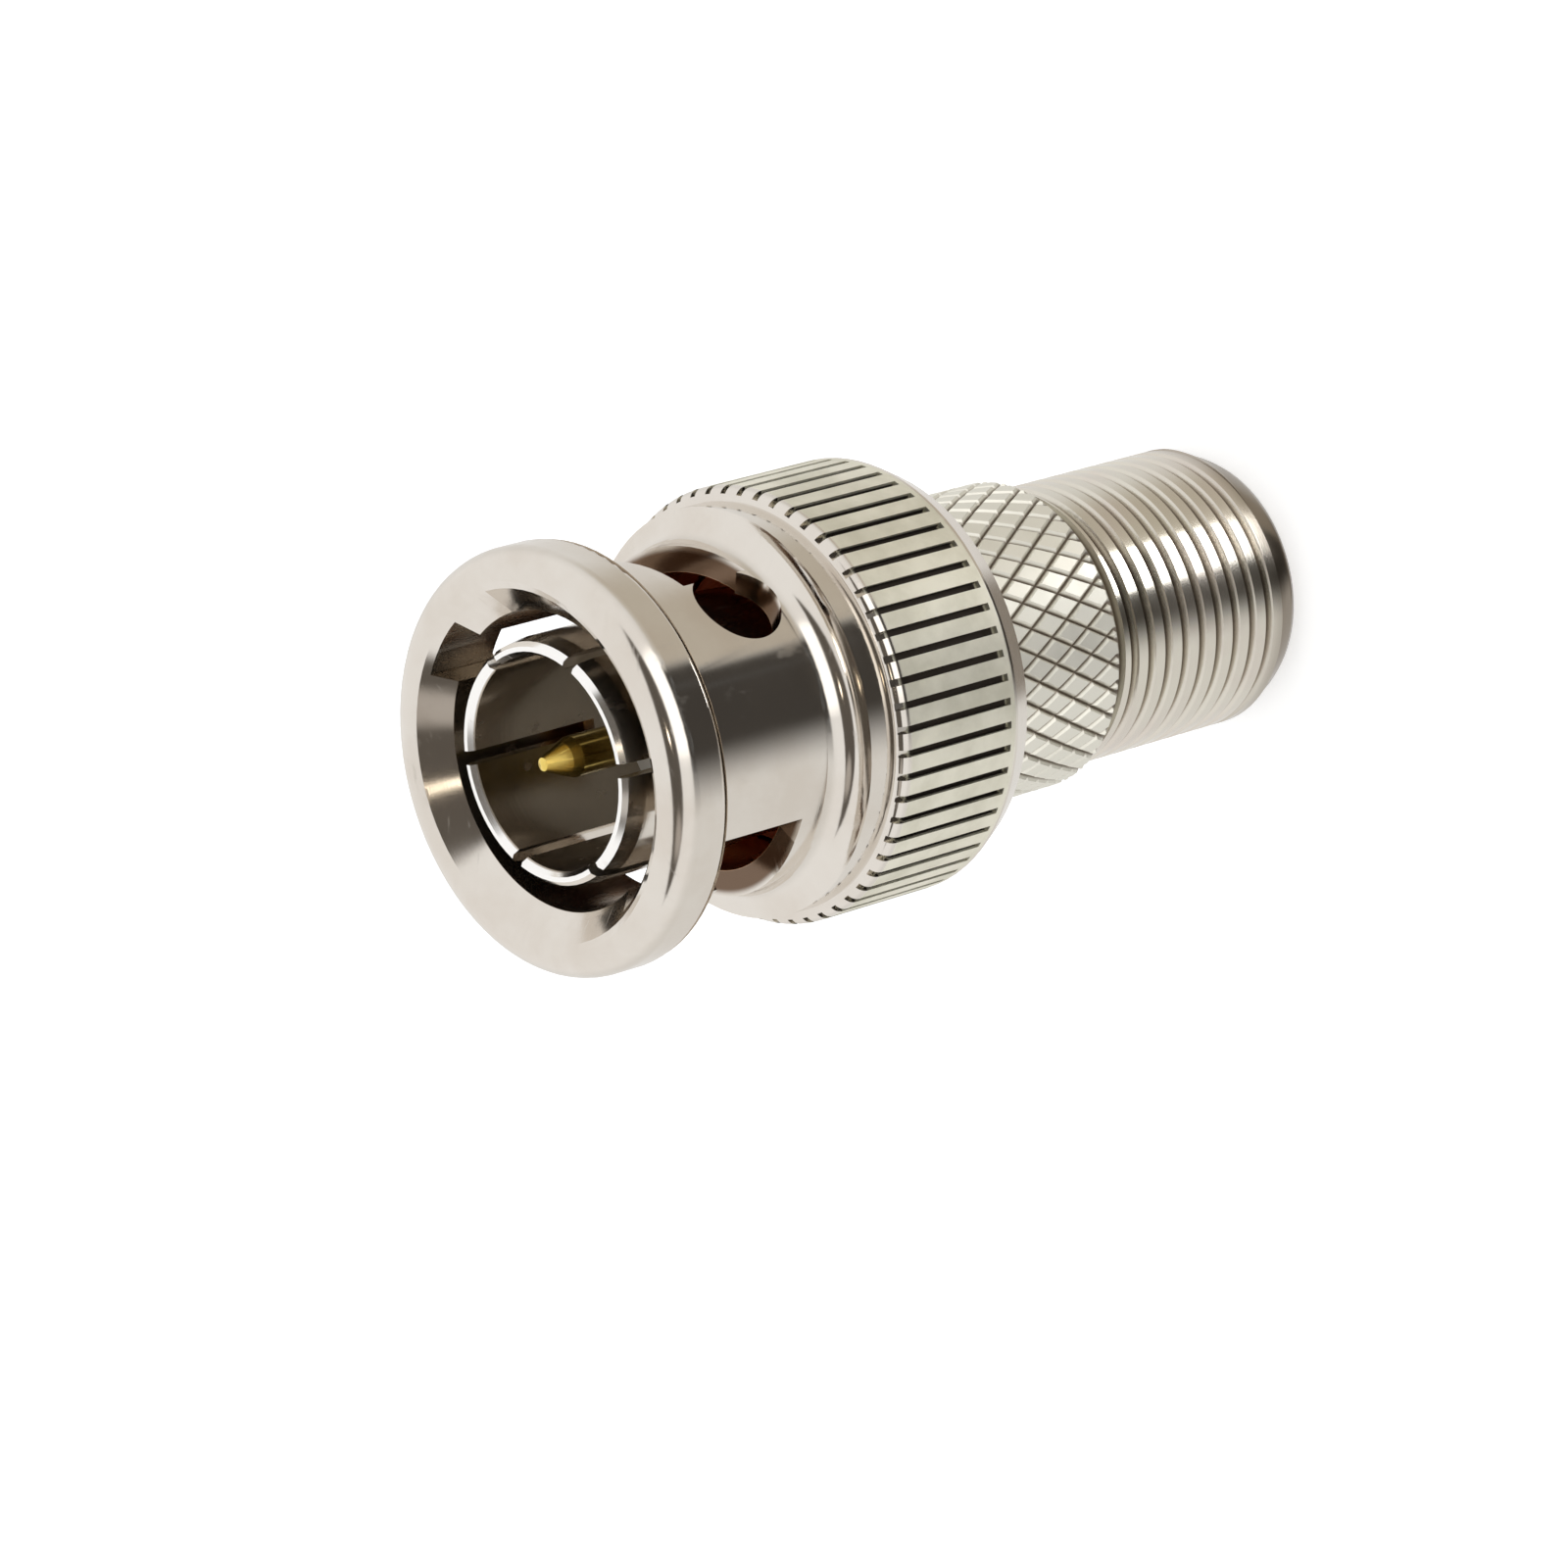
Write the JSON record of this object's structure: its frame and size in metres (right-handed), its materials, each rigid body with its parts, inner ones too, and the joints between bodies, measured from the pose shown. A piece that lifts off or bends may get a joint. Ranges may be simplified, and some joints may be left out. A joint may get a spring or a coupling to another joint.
{
  "type": "bnc connector",
  "caption": "Coaxial adapter: bayonet-coupling plug with a centre pin and slotted outer contact at one end, threaded jack with a knurled collar at the other.",
  "frame": {"origin": "centre of the jack end's flat face, which the part stands on", "axes": "+Z along the common axis, towards the plug's mouth; +X and +Y across it, with the first lug entry channel 35.5 degrees from +X towards +Y"},
  "size_m": [0.0144, 0.0144, 0.0302],
  "materials": {
    "nut_plate": "polished nickel plate over brass, warm grey",
    "satin_plate": "satin nickel plate over brass",
    "spring_metal": "plain spring strip",
    "gold_plate": "gold plate",
    "white_insulator": "matt white fluoropolymer",
    "silicone": "matt red-brown silicone"
  },
  "bodies": {
    "body": {"outer_contact": "nut_plate", "jack_body": "satin_plate", "sealing_gasket": "silicone", "front_insulator": "white_insulator", "centre_pin": "gold_plate", "socket_contact": "gold_plate", "rear_insulator": "white_insulator", "entry_disc": "white_insulator", "spring_washer": "spring_metal"},
    "thrust": {"thrust_washer": "satin_plate"},
    "nut": {"coupling_nut": "nut_plate", "retaining_ring": "satin_plate"}
  },
  "joints": [
    {"name": "nut_slide", "type": "slide", "parent": "body", "child": "thrust", "axis": [0, 0, 1], "range_m": [0, 0.0006], "stiffness_N_per_m": 15000, "deforming": ["spring_washer"]},
    {"name": "nut_turn", "type": "hinge", "parent": "thrust", "child": "nut", "pos_m": [0, 0, 0.01655], "axis": [0, 0, 1], "continuous": true}
  ]
}
